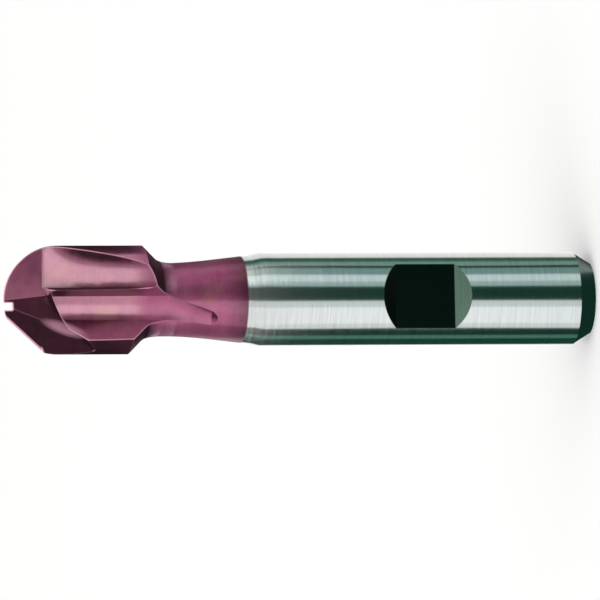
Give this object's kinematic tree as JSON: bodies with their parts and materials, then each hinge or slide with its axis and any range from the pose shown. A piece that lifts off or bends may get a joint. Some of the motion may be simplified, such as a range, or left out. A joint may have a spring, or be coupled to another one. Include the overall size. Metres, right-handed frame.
{
  "type": "ball nose end mill",
  "caption": "Ball nose end mill with a straight-fluted head, a waisted neck and a cylindrical shank with a driving flat.",
  "frame": {"origin": "centre of the shank's end face", "axes": "+Z along the tool's axis from the shank to the tip, -Y out of the side with the driving flat, which is turned 4.5 degrees from it towards +X"},
  "size_m": [0.014, 0.012, 0.077],
  "materials": {
    "tool_steel": "ground, with a rose coating on the head and neck"
  },
  "bodies": {
    "root": {"end_mill": "tool_steel"}
  },
  "joints": []
}
